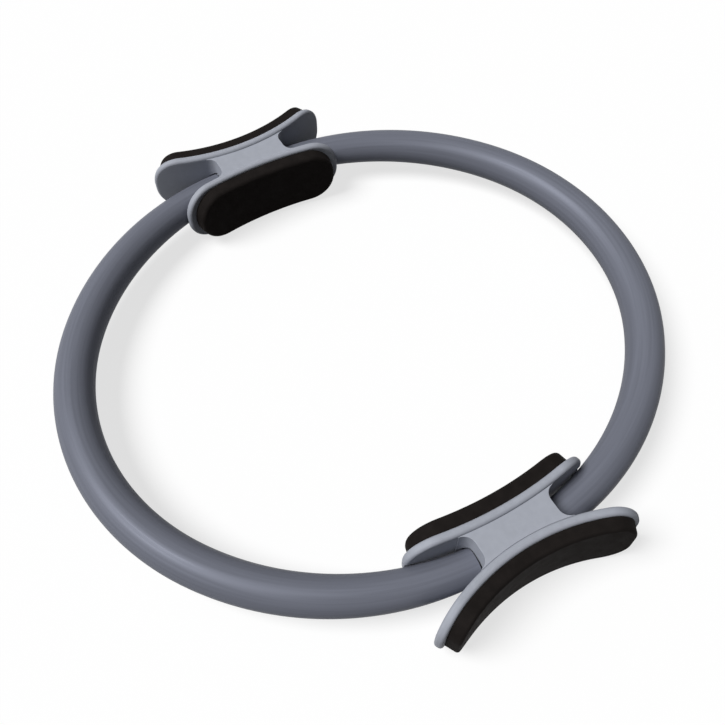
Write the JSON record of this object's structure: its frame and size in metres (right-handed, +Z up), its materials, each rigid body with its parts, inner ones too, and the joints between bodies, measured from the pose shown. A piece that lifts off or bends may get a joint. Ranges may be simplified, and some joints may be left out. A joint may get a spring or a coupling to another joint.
{
  "type": "pilates ring",
  "caption": "Round spring ring with padded paddle handles on opposite sides, pressed together or pulled apart to exercise arms and legs.",
  "frame": {"origin": "centre of the ring, at half its height", "axes": "+X to the front handle, +Y to the left hoop, +Z up, across the ring's plane"},
  "size_m": [0.3982, 0.4002, 0.046],
  "materials": {
    "tube_skin": "satin",
    "handle_plastic": "matte",
    "pad_foam": "matte",
    "leaf_fibreglass": "satin",
    "ferrule_nylon": "matte",
    "fastener_steel": "satin"
  },
  "bodies": {
    "rear_handle": {"rear_bridge_upper": "handle_plastic", "rear_bridge_lower": "handle_plastic", "rear_outer_paddle": "handle_plastic", "rear_inner_paddle": "handle_plastic", "rear_outer_pad": "pad_foam", "rear_inner_pad": "pad_foam", "rear_outer_screws": "fastener_steel", "rear_inner_screws": "fastener_steel", "rear_clamp_screw": "fastener_steel", "left_rear_ferrule": "ferrule_nylon", "left_rear_rivets": "fastener_steel", "right_rear_ferrule": "ferrule_nylon", "right_rear_rivets": "fastener_steel"},
    "front_handle": {"front_bridge_upper": "handle_plastic", "front_bridge_lower": "handle_plastic", "front_outer_paddle": "handle_plastic", "front_inner_paddle": "handle_plastic", "front_outer_pad": "pad_foam", "front_inner_pad": "pad_foam", "front_outer_screws": "fastener_steel", "front_inner_screws": "fastener_steel", "front_clamp_screw": "fastener_steel"},
    "left_hoop": {"left_sleeve": "tube_skin", "left_outer_leaf": "leaf_fibreglass", "left_inner_leaf": "leaf_fibreglass"},
    "right_hoop": {"right_sleeve": "tube_skin", "right_outer_leaf": "leaf_fibreglass", "right_inner_leaf": "leaf_fibreglass"},
    "left_front_end": {"left_front_ferrule": "ferrule_nylon", "left_front_rivets": "fastener_steel"},
    "right_front_end": {"right_front_ferrule": "ferrule_nylon", "right_front_rivets": "fastener_steel"}
  },
  "joints": [
    {"name": "squeeze", "type": "slide", "parent": "rear_handle", "child": "front_handle", "axis": [-1, 0, 0], "range_m": [-0.03, 0.08], "stiffness_N_per_m": 1000},
    {"name": "left_bulge", "type": "slide", "parent": "rear_handle", "child": "left_hoop", "axis": [-0.7359, 0.6771, 0], "range_m": [-0.0206, 0.0545], "deforming": ["left_sleeve", "left_outer_leaf", "left_inner_leaf"]},
    {"name": "left_follow", "type": "slide", "parent": "left_hoop", "child": "left_front_end", "axis": [-0.7359, -0.6771, 0], "range_m": [-0.0206, 0.0545]},
    {"name": "right_bulge", "type": "slide", "parent": "rear_handle", "child": "right_hoop", "axis": [-0.7359, -0.6771, 0], "range_m": [-0.0206, 0.0545], "deforming": ["right_sleeve", "right_outer_leaf", "right_inner_leaf"]},
    {"name": "right_follow", "type": "slide", "parent": "right_hoop", "child": "right_front_end", "axis": [-0.7359, 0.6771, 0], "range_m": [-0.0206, 0.0545]}
  ],
  "couplings": [
    {"joint": "left_bulge", "follows": "squeeze", "ratio": 0.67941},
    {"joint": "left_follow", "follows": "squeeze", "ratio": 0.67941},
    {"joint": "right_bulge", "follows": "squeeze", "ratio": 0.67941},
    {"joint": "right_follow", "follows": "squeeze", "ratio": 0.67941}
  ]
}
